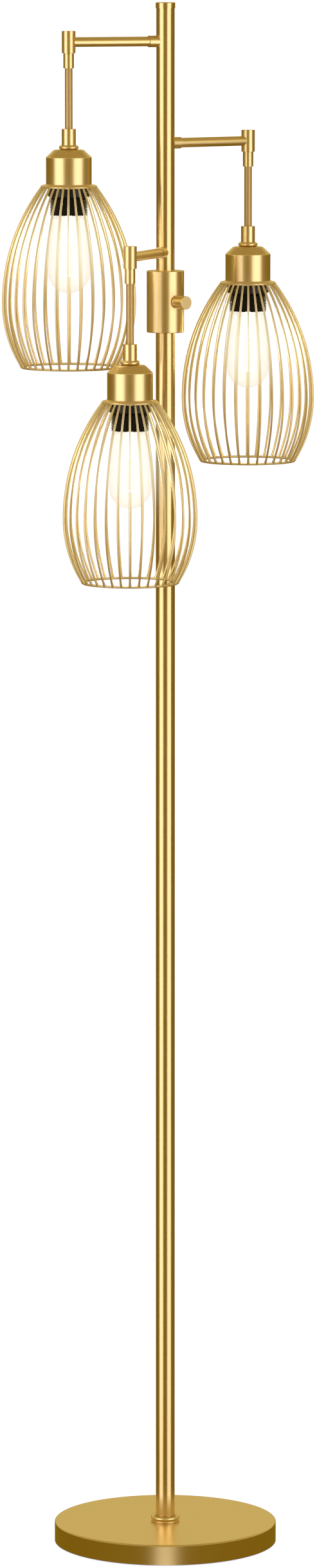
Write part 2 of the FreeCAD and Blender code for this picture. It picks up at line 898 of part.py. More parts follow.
def socket_contacts(arm):
    """Screw shell and middle contact on the floor of the socket's bore."""
    outside = "dims.socket_bore - dims.fit"
    inside = f"{outside} - dims.shell_thickness"
    opening = "dims.contact_radius + 2 * dims.shell_thickness"
    shell = turned(
        f"screw_shell_{arm}",
        [
            (opening, "0"),
            (outside, "0"),
            (outside, "-dims.shell_length"),
            (inside, "-dims.shell_length"),
            (inside, "-dims.shell_thickness"),
            (opening, "-dims.shell_thickness"),
        ],
    )
    contact = cylinder(
        f"middle_contact_{arm}", "dims.contact_radius", "dims.contact_height", "-dims.contact_height"
    )
    contacts = group(f"socket_contacts_{arm}", [shell, contact])
    return hang(contacts, arm, f"{SOCKET_MOUTH} + dims.socket_bore_depth")


def drop_lead(arm):
    """Lead inside the rod, from the split in the tee to the socket's middle contact."""
    foot = f"({SOCKET_MOUTH} + dims.socket_bore_depth)"
    lead = cylinder(f"drop_lead_{arm}", "dims.arm_lead_radius", f"-dims.lead_split_drop - {foot}")
    lead.Label = f"drop_lead_{arm}"
    return hang(lead, arm, foot)


# ---------------------------------------------------------------------------------------------
# Wire cage
# ---------------------------------------------------------------------------------------------

def radial_point(radius, height):
    """A point of a section, in the plane of X and Z."""
    return FreeCAD.Vector(radius, 0, height)


def bow_middle(end, belly):
    """Middle of the arc from a wire's end to its belly, where the arc runs upright."""
    inward = belly.x - end.x
    rise = end.z - belly.z
    radius = (inward ** 2 + rise ** 2) / (2 * inward)
    half_turn = math.atan2(rise, radius - inward) / 2
    return radial_point(belly.x - radius * (1 - math.cos(half_turn)), belly.z + radius * math.sin(half_turn))


def cage_wire(top, belly, mouth):
    """One bowed wire: a long arc from the rim to the belly and a shorter one to the mouth ring."""
    upper = Part.Arc(top, bow_middle(top, belly), belly).toShape()
    lower = Part.Arc(belly, bow_middle(mouth, belly), mouth).toShape()
    path = Part.Wire([upper, lower])
    section = Part.Wire(Part.makeCircle(size("wire_radius"), top, upper.tangentAt(upper.FirstParameter)))
    return path.makePipeShell([section], True, False)


def rim_ring(radius, height):
    """A closed ring of the thicker wire, level at a height."""
    return Part.makeTorus(radius, size("rim_wire_radius"), FreeCAD.Vector(0, 0, height))


def cage_collar(rim_height):
    """Flared sheet collar with a rolled rim, bored to pass over the socket."""
    bore = size("socket_radius") + size("fit")
    flat = size("collar_flat_radius")
    rim = size("collar_rim_radius")
    sheet = size("collar_thickness")
    flare = size("collar_flare")
    outline = [
        radial_point(bore, 0),
        radial_point(flat, 0),
        radial_point(rim, -flare),
        radial_point(rim, -flare - sheet),
        radial_point(flat, -sheet),
        radial_point(bore, -sheet),
        radial_point(bore, 0),
    ]
    face = Part.Face(Part.makePolygon(outline))
    sheet_metal = face.revolve(FreeCAD.Vector(), FreeCAD.Vector(0, 0, 1), 360)
    return sheet_metal.fuse(rim_ring(rim, rim_height)).removeSplitter()


def cage_shapes():
    """The collar with the wires that are welded to it, and the mouth ring at their feet."""
    rim_height = -size("collar_flare") - size("collar_thickness") / 2
    belly_height = rim_height - size("cage_belly_drop")
    mouth_height = belly_height - size("cage_mouth_drop")
    top = radial_point(size("collar_rim_radius"), rim_height)
    belly = radial_point(size("cage_belly_radius"), belly_height)
    mouth = radial_point(size("cage_mouth_radius"), mouth_height)
    collar = cage_collar(rim_height)
    ring = rim_ring(mouth.x, mouth_height)
    trimmed = cage_wire(top, belly, mouth).cut([rim_ring(top.x, rim_height), ring])
    wire = max(trimmed.Solids, key=lambda solid: solid.Volume)
    solids = list(collar.Solids)
    count = int(size("wire_count"))
    for number in range(count):
        copy = wire.copy()
        copy.rotate(FreeCAD.Vector(), FreeCAD.Vector(0, 0, 1), -90 + 360 * number / count)
        solids.append(copy)
    return Part.makeCompound(solids), ring


# ---------------------------------------------------------------------------------------------
# Light bulb
# ---------------------------------------------------------------------------------------------

def bulb_cap(arm):
    """Screw cap of the bulb, with ringed thread and a round tip contact."""
    roof = "-dims.bulb_cap_tip_height"
    rim = f"{roof} - dims.bulb_cap_length"
    inside = "dims.bulb_cap_radius - dims.bulb_cap_wall"
    thread = []
    for turn in range(1, int(size("bulb_thread_count")) + 1):
        crest = f"{roof} - {turn} * dims.bulb_thread_pitch"
        root = "dims.bulb_cap_radius - dims.bulb_thread_depth"
        thread.append(("dims.bulb_cap_radius", crest))
        thread.append((root, f"{crest} - dims.bulb_thread_pitch / 2"))
    cap = turned(
        f"bulb_cap_{arm}",
        [
            ("0", "0"),
            ("dims.bulb_cap_tip_radius", "0"),
            ("dims.bulb_cap_radius - dims.bulb_thread_depth", roof),
            *thread,
            ("dims.bulb_cap_radius", f"{rim} + dims.bulb_thread_pitch"),
            ("dims.bulb_cap_radius", rim),
            (inside, rim),
            (inside, f"{roof} - dims.bulb_cap_wall"),
            ("0", f"{roof} - dims.bulb_cap_wall"),
        ],
    )
    return hang(cap, arm, BULB_SEAT)


def bulb_outline(inset, neck_top):
    """Edges of the glass from the top of its neck to its tip, moved inwards by a wall."""
    neck = size("bulb_neck_radius") - inset
    shoulder = size("bulb_shoulder_radius") - inset
    belly = size("bulb_radius") - inset
    shoulder_height = -size("bulb_shoulder_drop")
    belly_height = -size("bulb_belly_drop")
    round_height = size("bulb_radius") - size("bulb_length")
    neck_foot = size("bulb_neck_foot")
    flare = Part.BezierCurve()
    flare.setPoles([
        radial_point(neck, neck_foot),
        radial_point(neck, size("neck_flare_low") * shoulder_height),
        radial_point(shoulder, size("neck_flare_high") * shoulder_height),
        radial_point(shoulder, shoulder_height),
    ])
    fall = shoulder_height - belly_height
    side = Part.BezierCurve()
    side.setPoles([
        radial_point(shoulder, shoulder_height),
        radial_point(shoulder, shoulder_height - size("side_bow_low") * fall),
        radial_point(belly, shoulder_height - size("side_bow_high") * fall),
        radial_point(belly, belly_height),
    ])
    diagonal = belly * math.sqrt(0.5)
    end = Part.Arc(
        radial_point(belly, round_height),
        radial_point(diagonal, round_height - diagonal),
        radial_point(0, round_height - belly),
    )
    return [
        Part.LineSegment(radial_point(neck, neck_top), radial_point(neck, neck_foot)).toShape(),
        flare.toShape(),
        side.toShape(),
        Part.LineSegment(radial_point(belly, belly_height), radial_point(belly, round_height)).toShape(),
        end.toShape(),
    ]


def bulb_glass_shape(neck_top):
    """Thin tubular envelope with a rounded end, open at the neck."""
    wall = size("bulb_wall")
    outside = bulb_outline(0, neck_top)
    inside = bulb_outline(wall, neck_top)
    outer_tip = outside[-1].Vertexes[-1].Point
    inner_tip = inside[-1].Vertexes[-1].Point
    outer_neck = outside[0].Vertexes[0].Point
    inner_neck = inside[0].Vertexes[0].Point
    tip = Part.LineSegment(outer_tip, inner_tip).toShape()
    mouth = Part.LineSegment(inner_neck, outer_neck).toShape()
    loop = Part.Wire([*outside, tip, *reversed(inside), mouth])
    return Part.Face(loop).revolve(FreeCAD.Vector(), FreeCAD.Vector(0, 0, 1), 360)


def bulb_filament_shape(neck_top):
    """Glass stem with its foot in the neck, and upright filaments between two small plates."""
    plate = size("filament_plate")
    foot_radius = size("bulb_neck_radius") - size("bulb_wall") - size("fit")
    circle = size("filament_circle")
    thickness = size("filament_radius")
    plate_radius = circle + 2 * thickness
    hub_height = neck_top - size("stem_length")
    down = FreeCAD.Vector(0, 0, -1)
    foot = Part.makeCylinder(foot_radius, plate, FreeCAD.Vector(0, 0, neck_top), down)
    stem = Part.makeCylinder(size("stem_radius"), size("stem_length"), FreeCAD.Vector(0, 0, neck_top), down)
    hub = Part.makeCylinder(plate_radius, plate, FreeCAD.Vector(0, 0, hub_height), down)
    end_height = hub_height - plate - size("filament_length")
    end = Part.makeCylinder(plate_radius, plate, FreeCAD.Vector(0, 0, end_height), down)
    shape = stem.fuse([foot, hub, end])
    count = int(size("filament_count"))
    for number in range(count):
        angle = 2 * math.pi * number / count
        start = FreeCAD.Vector(circle * math.cos(angle), circle * math.sin(angle), hub_height)
        shape = shape.fuse(Part.makeCylinder(thickness, size("filament_length") + 2 * plate, start, down))
    return shape.removeSplitter()


# ---------------------------------------------------------------------------------------------
# Wiring inside the stand
# ---------------------------------------------------------------------------------------------

def natural_bend(before, corner, after):
    """An easy radius for a corner of a route, which leaves a straight run on either side."""
    turn = (corner - before).getAngle(after - corner)
    shorter = min((corner - before).Length, (after - corner).Length)
    return NATURAL_BEND_SHARE * shorter / math.tan(turn / 2)


def lead_along(points, bends, radius):
    """A round lead along straight runs joined by tangent arcs; a bend of None is worked out."""
    edges = []
    here = points[0]
    for before, corner, after, bend in zip(points, points[1:], points[2:], bends):
        arriving = (corner - before).normalize()
        leaving = (after - corner).normalize()
        turn = arriving.getAngle(leaving)
        bend = bend or natural_bend(before, corner, after)
        trim = bend * math.tan(turn / 2)
        arc_start = corner - arriving * trim
        arc_end = corner + leaving * trim
        inward = (leaving - arriving).normalize()
        arc_middle = corner + inward * (bend / math.cos(turn / 2) - bend)
        edges.append(Part.LineSegment(here, arc_start).toShape())
        edges.append(Part.Arc(arc_start, arc_middle, arc_end).toShape())
        here = arc_end
    edges.append(Part.LineSegment(here, points[-1]).toShape())
    path = Part.Wire(edges)
    section = Part.Wire(Part.makeCircle(radius, points[0], points[1] - points[0]))
    return path.makePipeShell([section], True, False)


def plan(reach, azimuth, side=0.0):
    """A point of the floor plan: so far out at an azimuth, and so far to its left."""
    angle = math.radians(azimuth)
    across = reach * math.cos(angle) - side * math.sin(angle)
    along = reach * math.sin(angle) + side * math.cos(angle)
    return FreeCAD.Vector(across, along, 0)


def raised(point, height):
    """A point of the floor plan lifted to a height."""
    return FreeCAD.Vector(point.x, point.y, height)


def supply_lead():
    """Lead from the inlet, along the channel under the weight and up the pole to the dimmer."""
    wall = FreeCAD.Vector(0, size("base_radius"), size("inlet_height"))
    run = FreeCAD.Vector(0, size("supply_entry_run"), 0)
    slope = FreeCAD.Vector(0, size("supply_slope_run"), 0)
    level = size("supply_lead_level")
    terminal = plan(size("dimmer_inset") + size("supply_terminal_inset"), size("knob_azimuth"))
    case_foot = measured(KNOB_LEVEL) - size("dimmer_height") / 2
    turn_out = case_foot - size("lead_end_run") - size("lead_climb")
    points = [
        wall,
        wall - run,
        raised(wall - run - slope, level),
        raised(FreeCAD.Vector(), level),
        raised(FreeCAD.Vector(), turn_out),
        raised(terminal, case_foot - size("lead_end_run")),
        raised(terminal, case_foot),
    ]
    bends = [None, None, size("supply_bend"), None, None]
    return lead_along(points, bends, size("supply_lead_radius"))


def arm_lead(arm):
    """Lead from the dimmer, up the pole on the far side from its arm, and along to the tee."""
    azimuth = size(f"arm_azimuth_{arm}")
    terminal_side = size("terminal_pitch") * ARM_TERMINALS[arm]
    terminal = plan(
        size("dimmer_inset") + size("arm_terminal_inset"), size("knob_azimuth"), terminal_side
    )
    riser = plan(-size("arm_lead_offset"), azimuth, size(f"arm_lead_side_{arm}"))
    tee = plan(size("arm_length"), azimuth)
    case_top = measured(KNOB_LEVEL) + size("dimmer_height") / 2
    arm_height = measured(arm_level(arm))
    points = [
        raised(terminal, case_top),
        raised(terminal, case_top + size("lead_end_run")),
        raised(riser, case_top + size("lead_end_run") + size("lead_climb")),
        raised(riser, arm_height),
        raised(tee, arm_height),
        raised(tee, arm_height - size("lead_split_drop")),
    ]
    bends = [None, None, size("arm_lead_bend"), size("tee_lead_bend")]
    return lead_along(points, bends, size("arm_lead_radius"))


# ---------------------------------------------------------------------------------------------
# The whole lamp, one object for each node
# ---------------------------------------------------------------------------------------------

nodes = [
    base_pad(),
    base_weight(),
    base_cover(),
    base_bead(),
    cord_bush(),
    group("pole_tubes", [pole_tube(section) for section in SECTIONS]),
    pole_joiners(),
    lock_nuts(),
    upper_tube(),
    pole_cap(),
    switch_housing(),
    housing_lid(),
    dimmer_body(),
    dimmer_shaft(),
    dimmer_knob(),
    group("arm_tubes", [arm_tube(arm) for arm in ARMS]),
    group("arm_fittings", [arm_fitting(arm) for arm in ARMS]),
    group("arm_tees", [arm_tee(arm) for arm in ARMS]),
    group("tee_plugs", [tee_plug(arm) for arm in ARMS]),
    feature("wiring", Part.makeCompound([supply_lead(), *[arm_lead(arm) for arm in ARMS]])),
]

one_cage, one_mouth_ring = cage_shapes()
rim_above_mouth = measured(BULB_RIM) - measured(SOCKET_MOUTH)
neck_top = rim_above_mouth + size("bulb_neck_seat")
one_glass = bulb_glass_shape(neck_top)
one_filament = bulb_filament_shape(neck_top)

for arm in ARMS:
    nodes += [
        swivel_sleeve(arm),
        drop_rod(arm),
        drop_coupler(arm),
        socket_cap(arm),
        hang(feature(f"cage_{arm}", one_cage.copy()), arm, COLLAR_TOP),
        hang(feature(f"cage_ring_{arm}", one_mouth_ring.copy()), arm, COLLAR_TOP),
        socket_body(arm),
        socket_ring(arm),
        socket_contacts(arm),
        drop_lead(arm),
        bulb_cap(arm),
        hang(feature(f"bulb_glass_{arm}", one_glass.copy()), arm, SOCKET_MOUTH),
        hang(feature(f"bulb_filament_{arm}", one_filament.copy()), arm, SOCKET_MOUTH),
    ]

doc.recompute()

for item in doc.Objects:
    faults = {"Invalid", "Error"} & set(item.State)
    if faults:
        raise RuntimeError(f"{item.Label} is {', '.join(sorted(faults))}")
for node in nodes:
    if node.Shape.isNull() or not node.Shape.isValid():
        raise RuntimeError(f"{node.Label} has no valid shape")
for node in nodes:
    node.Shape.exportStep(f"parts/{node.Label}.step")
print(f"{len(nodes)} nodes, {measured(POLE_TOP) + size('cap_rim_height'):.1f} mm tall")
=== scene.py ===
# %% [markdown]
# # Dressing a wire cage floor lamp
#
# The lamp is a slim round pole on a heavy disc. Three short arms leave the pole at different
# heights, and from each hangs a rod, a spun cap, a black lamp holder and a bowed wire cage with a
# lit bulb inside. The metal that shows is lacquered in satin gold, in a few grades.
#
# The construction model already holds the true tubes, caps and sockets. This lesson loads it as a
# fixed frame, gives each of its pieces a finish, and models by hand the parts whose looks need
# more care, which are the wire cages and the ring at the pole's foot. Lights, a surround and a soft
# glow then make the studio. All sizes are metres.

# %% Load the frame
import json
import math

import bpy
from mathutils import Matrix, Vector


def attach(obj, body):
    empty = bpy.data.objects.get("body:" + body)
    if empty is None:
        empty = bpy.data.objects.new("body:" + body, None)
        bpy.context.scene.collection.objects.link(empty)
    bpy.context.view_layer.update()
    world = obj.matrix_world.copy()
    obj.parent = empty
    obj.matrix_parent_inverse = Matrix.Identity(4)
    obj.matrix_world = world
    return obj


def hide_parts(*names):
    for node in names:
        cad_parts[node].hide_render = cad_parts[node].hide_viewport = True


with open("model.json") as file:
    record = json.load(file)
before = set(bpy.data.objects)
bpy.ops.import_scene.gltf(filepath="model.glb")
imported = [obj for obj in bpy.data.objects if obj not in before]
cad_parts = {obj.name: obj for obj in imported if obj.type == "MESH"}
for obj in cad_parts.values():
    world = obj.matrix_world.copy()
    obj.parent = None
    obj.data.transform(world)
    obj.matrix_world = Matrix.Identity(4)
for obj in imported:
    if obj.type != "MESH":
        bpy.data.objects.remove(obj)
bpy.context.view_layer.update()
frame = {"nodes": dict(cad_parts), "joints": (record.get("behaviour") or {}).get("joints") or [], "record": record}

scene = bpy.context.scene

# %% [markdown]
# ## The camera
#
# The photograph was taken from a little above the lamp's heads with a long lens, so that the
# base shows its top as a flat ellipse while the cages are seen almost level. A long lens also
# keeps the pole's sides nearly parallel.

# %% Camera
CAMERA_PLACE = (-0.0072, -7.404, 1.771)
CAMERA_DIP = 7.39
LENS = 163.4
SENSOR_WIDTH = 36.0
CLIP_END = 200.0

camera_data = bpy.data.cameras.new("studio_camera")
camera_data.lens = LENS
camera_data.sensor_width = SENSOR_WIDTH
camera_data.clip_end = CLIP_END
camera = bpy.data.objects.new("studio_camera", camera_data)
camera.location = CAMERA_PLACE
camera.rotation_euler = (math.radians(90 - CAMERA_DIP), 0, 0)
scene.collection.objects.link(camera)
scene.camera = camera
print(f"camera {CAMERA_PLACE[2]:.2f} m up, {-CAMERA_PLACE[1]:.2f} m in front of the pole")

# %% [markdown]
# ## Writing shader maths as sums
#
# A procedural finish is a chain of small nodes. Wrapping a socket in a class lets a mask be
# written as an ordinary expression, such as 1 - grain, and the class adds the Math nodes.

# %% A socket that can be used in sums
class Signal:
    """A socket of a material's node tree."""

    def __init__(self, tree, socket=None):
        self.tree = tree
        self.socket = socket

    def node(self, kind, settings, inputs, output=0):
        """Add a node: its settings first, then the values or links of its sockets."""
        new = self.tree.nodes.new(kind)
        for name, value in settings.items():
            setattr(new, name, value)
        for name, value in inputs.items():
            self.feed(new.inputs[name], value)
        return Signal(self.tree, None if output is None else new.outputs[output])

    def feed(self, socket, value):
        """Link a signal to a socket, or set a plain value on it."""
        if isinstance(value, Signal):
            self.tree.links.new(value.socket, socket)
        else:
            socket.default_value = value

    def maths(self, operation, first, second):
        """One Math node with two inputs."""
        return self.node("ShaderNodeMath", {"operation": operation}, {0: first, 1: second})

    def blend(self, first, second):
        """A colour between two others, with this signal as the share of the second."""
        inputs = {"Factor": self, 6: first, 7: second}
        return self.node("ShaderNodeMix", {"data_type": "RGBA"}, inputs, output=2)

    def __add__(self, other):
        return self.maths("ADD", self, other)

    def __sub__(self, other):
        return self.maths("SUBTRACT", self, other)

    def __rsub__(self, other):
        return self.maths("SUBTRACT", other, self)

    def __mul__(self, other):
        return self.maths("MULTIPLY", self, other)

    __radd__ = __add__
    __rmul__ = __mul__


class Finish:
    """A new material, with its main shader and a place to start its patterns from."""

    def __init__(self, name, constants):
        self.material = bpy.data.materials.new(name)
        self.material.use_nodes = True
        self.tree = self.material.node_tree
        self.shader = self.tree.nodes["Principled BSDF"]
        self.start = Signal(self.tree)
        for socket, value in constants.items():
            self.shader.inputs[socket].default_value = value
        self.place = self.start.node("ShaderNodeTexCoord", {}, {}, output="Object")
        print(f"finish {name}")

    def noise(self, scale, detail=2.0, roughness=0.5):
        """Soft random patches, about 1/scale metres across, from 0 to 1."""
        inputs = {"Vector": self.place, "Scale": scale, "Detail": detail, "Roughness": roughness}
        return self.start.node("ShaderNodeTexNoise", {}, inputs)

    def vary(self, socket, signal):
        """Let a signal drive one of the main shader's sockets."""
        self.start.feed(self.shader.inputs[socket], signal)

    def relief(self, height, depth, strength=1.0):
        """Raise the surface by a height signal, up to a depth in metres."""
        inputs = {"Height": height, "Distance": depth, "Strength": strength}
        self.vary("Normal", self.start.node("ShaderNodeBump", {}, inputs))


# %% [markdown]
# ## Satin gold lacquer
#
# The lamp's metal is steel tube and spun sheet under a gold lacquer with a soft sheen. Light
# spreads into wide bands along each tube, without a mirror image. A metallic shader with medium
# roughness gives the bands, a grain of about half a millimetre breaks them up as fine lacquer
# does, and slow clouds keep large areas from looking flat. The same function with other values
# gives the pole, which is smoother, the cages' wires, which are duller and a touch greener, and
# the rods of the hanging heads, which the photograph shows in an even, browner gold.

# %% Satin gold
GOLD_DEEP = (0.79, 0.605, 0.315, 1)
GOLD_LIGHT = (0.84, 0.66, 0.365, 1)
TUBE_DEEP = (0.75, 0.56, 0.28, 1)
TUBE_LIGHT = (0.79, 0.60, 0.32, 1)
WIRE_DEEP = (0.755, 0.61, 0.335, 1)
WIRE_LIGHT = (0.805, 0.66, 0.385, 1)
ROD_DEEP = (0.54, 0.375, 0.165, 1)
ROD_LIGHT = (0.60, 0.43, 0.21, 1)
LACQUER = {"Metallic": 1.0, "Coat Roughness": 0.3, "Coat Weight": 0.2}
CLOUD_SCALE, CLOUD_SHARE = 14.0, 0.05
GRAIN_SCALE, GRAIN_SHARE = 2200.0, 0.06
GRAIN_DEPTH, GRAIN_STRENGTH = 0.00001, 0.04


def satin_gold(name, roughness, deep=GOLD_DEEP, light=GOLD_LIGHT):
    """Satin lacquer whose roughness varies a little round a middle value."""
    finish = Finish(name, LACQUER)
    clouds = finish.noise(CLOUD_SCALE, detail=3.0)
    grain = finish.noise(GRAIN_SCALE, detail=1.0)
    finish.vary("Base Color", clouds.blend(deep, light))
    uneven = roughness + CLOUD_SHARE * (clouds - 0.5) + GRAIN_SHARE * (grain - 0.5)
    finish.vary("Roughness", uneven)
    finish.relief(grain, depth=GRAIN_DEPTH, strength=GRAIN_STRENGTH)
    return finish.material


gold = satin_gold("satin_gold_lacquer", roughness=0.30)
tube_gold = satin_gold("satin_gold_tube", 0.235, TUBE_DEEP, TUBE_LIGHT)
wire_gold = satin_gold("satin_gold_wire", 0.48, WIRE_DEEP, WIRE_LIGHT)
rod_gold = satin_gold("dull_gold_rod", 0.5, ROD_DEEP, ROD_LIGHT)

# %% [markdown]
# ## Black lamp holders, rubber, plastics and plain metals
#
# The holders are glossy moulded plastic, black with a faint bluish sheen. The pad under the base
# is dull rubber with a fine pebble. The pieces inside the pole hardly show, but each still gets
# what it is made of: dark cast iron, zinc plated steel, brass contacts and smooth lead insulation.

# %% Black moulded plastic
SHADE_SCALE = 60.0
LIGHTER_BY, LIGHTER_LEAST = 1.8, 0.001
SKIN_SHARE, SKIN_STRENGTH = 0.12, 0.4


def moulded(name, colour, roughness, pebble, depth):
    """Moulded plastic or rubber with a fine pebble of some size and depth."""
    finish = Finish(name, {"Specular IOR Level": 0.35})
    clouds = finish.noise(SHADE_SCALE)
    skin = finish.noise(pebble, detail=3.0)
    lighter = tuple(min(1.0, LIGHTER_BY * part + LIGHTER_LEAST) for part in colour)
    finish.vary("Base Color", clouds.blend((*colour, 1), (*lighter, 1)))
    finish.vary("Roughness", roughness + SKIN_SHARE * (skin - 0.5))
    finish.relief(skin, depth=depth, strength=SKIN_STRENGTH)
    return finish.material


holder_black = moulded("holder_black", (0.002, 0.0022, 0.003), 0.25, pebble=900.0, depth=0.00003)
trim_black = moulded("trim_black", (0.02, 0.02, 0.02), 0.5, pebble=1500.0, depth=0.00004)
case_grey = moulded("dimmer_case_grey", (0.05, 0.05, 0.055), 0.45, pebble=1200.0, depth=0.00004)
lead_black = moulded("lead_insulation_black", (0.03, 0.03, 0.03), 0.35, pebble=500.0, depth=0.00003)
pad_rubber = moulded("pad_rubber", (0.03, 0.03, 0.03), 0.8, pebble=700.0, depth=0.0001)

# %% [markdown]
# ## Bare and plated metals
#
# Iron, zinc plating and brass differ in colour, but all of them are patchy at the scale of their
# casting or plating. One function makes them all. The same patches drive the colour, the
# roughness and the height, so that the three agree, as they do on real metal.

# %% Plain metals
PATCH_SHARE = 0.2
PATCH_DEPTH, PATCH_STRENGTH = 0.0001, 0.3


def plain_metal(name, dark, light, roughness, grit):
    """Bare or plated metal, patchy in colour and roughness at the scale of its grit."""
    finish = Finish(name, {"Metallic": 1.0})
    patches = finish.noise(grit, detail=4.0, roughness=0.6)
    finish.vary("Base Color", patches.blend((*dark, 1), (*light, 1)))
    finish.vary("Roughness", roughness + PATCH_SHARE * (patches - 0.5))
    finish.relief(patches, depth=PATCH_DEPTH, strength=PATCH_STRENGTH)
    return finish.material


cast_iron = plain_metal("cast_iron", (0.05, 0.05, 0.052), (0.14, 0.135, 0.13), 0.7, grit=400.0)
zinc = plain_metal("zinc_plating", (0.48, 0.49, 0.5), (0.7, 0.71, 0.7), 0.3, grit=250.0)
contact_brass = plain_metal("contact_brass", (0.6, 0.43, 0.2), (0.8, 0.62, 0.33), 0.3, grit=300.0)
bulb_cap_metal = plain_metal("bulb_cap_metal", (0.55, 0.47, 0.3), (0.78, 0.7, 0.5), 0.3, grit=500.0)

# %% [markdown]
# ## Lit bulbs
#
# The bulbs are on. A lit clear bulb against a white wall shows a warm white body, and its wall
# only as a faint cool edge. The glass is a thin film that is nearly clear where it is seen face
# on, denser towards its outline, and that carries a little of the filament's warm light.

# %% Glass and filaments
GLASS = {"Roughness": 0.04, "IOR": 1.45, "Emission Strength": 1.0}
GLASS_DEEP, GLASS_LIGHT = (0.30, 0.26, 0.26, 1), (0.34, 0.30, 0.30, 1)
GLASS_GLOW_FACE, GLASS_GLOW_EDGE = (0.60, 0.55, 0.30, 1), (0.20, 0.15, 0.14, 1)
EDGE_WIDTH = 0.35
GLASS_CLOUDS = 40.0
FACE_COVER, EDGE_COVER, CLOUD_COVER = 0.12, 0.16, 0.02
FILAMENT = {"Roughness": 0.5, "Emission Strength": 8.0}
FILAMENT_PATCHES = 300.0
FILAMENT_DEEP, FILAMENT_LIGHT = (1.0, 0.8, 0.4, 1), (1.0, 0.86, 0.5, 1)
FILAMENT_GLOW_DEEP, FILAMENT_GLOW_LIGHT = (1.0, 0.90, 0.55, 1), (1.0, 0.95, 0.70, 1)


def lit_glass():
    """Clear glass with the filament's glow on it."""
    finish = Finish("lit_bulb_glass", GLASS)
    inputs = {"Blend": EDGE_WIDTH}
    edge = finish.start.node("ShaderNodeLayerWeight", {}, inputs, output="Facing")
    clouds = finish.noise(GLASS_CLOUDS)
    finish.vary("Base Color", clouds.blend(GLASS_DEEP, GLASS_LIGHT))
    finish.vary("Emission Color", edge.blend(GLASS_GLOW_FACE, GLASS_GLOW_EDGE))
    finish.vary("Alpha", FACE_COVER + EDGE_COVER * edge + CLOUD_COVER * clouds)
    return finish.material


def glowing_filament():
    """Filament sticks, brighter in patches where the coating is thick."""
    finish = Finish("glowing_filament", FILAMENT)
    patches = finish.noise(FILAMENT_PATCHES)
    finish.vary("Base Color", patches.blend(FILAMENT_DEEP, FILAMENT_LIGHT))
    finish.vary("Emission Color", patches.blend(FILAMENT_GLOW_DEEP, FILAMENT_GLOW_LIGHT))
    return finish.material


bulb_glass = lit_glass()
filament_glow = glowing_filament()

# %% [markdown]
# ## Putting each finish on its pieces
#
# The record names a material slot for each piece of the construction model, so a table from slot
# to finish dresses the whole lamp in one pass. The pieces themselves are never moved or changed.

# %% Dress the frame
SLOT_FINISHES = {
    "satin_gold": gold,
    "base_iron": cast_iron,
    "foot_pad": pad_rubber,
    "black_trim": trim_black,
    "black_socket": holder_black,
    "dimmer_case": case_grey,
    "zinc_steel": zinc,
    "lead_insulation": lead_black,
    "contact_brass": contact_brass,
    "bulb_cap_metal": bulb_cap_metal,
    "bulb_glass": bulb_glass,
    "filament": filament_glow,
}


def dress(piece, material):
    """Give every face of a piece one finish."""
    if not piece.material_slots:
        piece.data.materials.append(material)
    for slot in piece.material_slots:
        slot.material = material


for entry in frame["record"]["subparts"]:
    dress(frame["nodes"][entry["node"]], SLOT_FINISHES[entry["material_slot"]])
for rod in ("drop_rod_1", "drop_rod_2", "drop_rod_3"):
    dress(frame["nodes"][rod], rod_gold)
for tube in ("pole_tubes", "upper_tube", "pole_cap"):
    dress(frame["nodes"][tube], tube_gold)

# %% [markdown]
# ## A wire cage
#
# Each cage is 34 bowed wires, welded at the top to a small collar with a rolled rim and at the
# bottom to a ring. The sizes below are those of the construction model, measured from the head's
# own axis and from the level where the arm meets it. Only the belly is a hundredth of a
# millimetre slimmer, which keeps the cages inside the construction model's box.

# %% Sizes of a cage
CAGE_WIRES = 34
WIRE_RADIUS = 0.0011
RING_RADIUS = 0.0013
RIM_REACH = 0.028
BELLY_REACH = 0.06859
MOUTH_REACH = 0.049
BELLY_DROP = 0.120
MOUTH_DROP = 0.0664
RIM_LEVEL = -0.14855
HEADS = (1, 2, 3)


def head_axis(head):
    """Where the arm's axis meets the head's own axis."""
    joint = next(item for item in frame["joints"] if item["name"] == f"head_{head}_swivel")
    return Vector(joint["pos_m"])


for head in HEADS:
    print(f"head {head} hangs from {tuple(round(part, 4) for part in head_axis(head))}")

# %% [markdown]
# ## Steps that every piece needs
#
# Editing commands act on whatever is selected, so every piece starts from an empty selection.
# When a piece is done, its place is written into its mesh, so that it lies at the origin like
# every piece of the construction model. These steps repeat, so each becomes a small helper.

# %% Helpers for modelling by hand
SMOOTH_ANGLE = 35


def deselect():
    """Leave nothing selected."""
    bpy.ops.object.select_all(action="DESELECT")


def edit(piece):
    """Set a piece to select by points, with nothing in it selected."""
    bpy.context.view_layer.objects.active = piece
    bpy.ops.object.mode_set(mode="EDIT")
    bpy.ops.mesh.select_mode(type="VERT")
    bpy.ops.mesh.select_all(action="DESELECT")
    bpy.ops.object.mode_set(mode="OBJECT")


def select_points(piece, wanted):
    """Select the points of a piece for which wanted(place) holds, and go back to edit mode."""
    bpy.ops.object.mode_set(mode="OBJECT")
    for polygon in piece.data.polygons:
        polygon.select = False
    for edge in piece.data.edges:
        edge.select = False
    chosen = [point for point in piece.data.vertices if wanted(point.co)]
    for point in piece.data.vertices:
        point.select = False
    for point in chosen:
        point.select = True
    bpy.ops.object.mode_set(mode="EDIT")


def settle(piece, name):
    """Leave edit mode, apply the place to the mesh, shade it smooth and name it."""
    bpy.ops.object.mode_set(mode="OBJECT")
    bpy.ops.object.transform_apply(location=True, rotation=True, scale=True)
    bpy.ops.object.shade_smooth_by_angle(angle=math.radians(SMOOTH_ANGLE))
    piece.name = name
    piece.data.name = name
    return piece


# %% [markdown]
# ## One wire
#
# A wire is two arcs that meet upright at the belly, so it is made as a wire bender would make
# it: a small circle is swept round the centre of one arc, and then round the centre of the other.
# A curve with a round bevel would also do, but its ends would be flat. Here the tip is drawn out
# past the rim and rounded over, which gives the rim its toothed look, and the foot swells a
# little where the weld is.

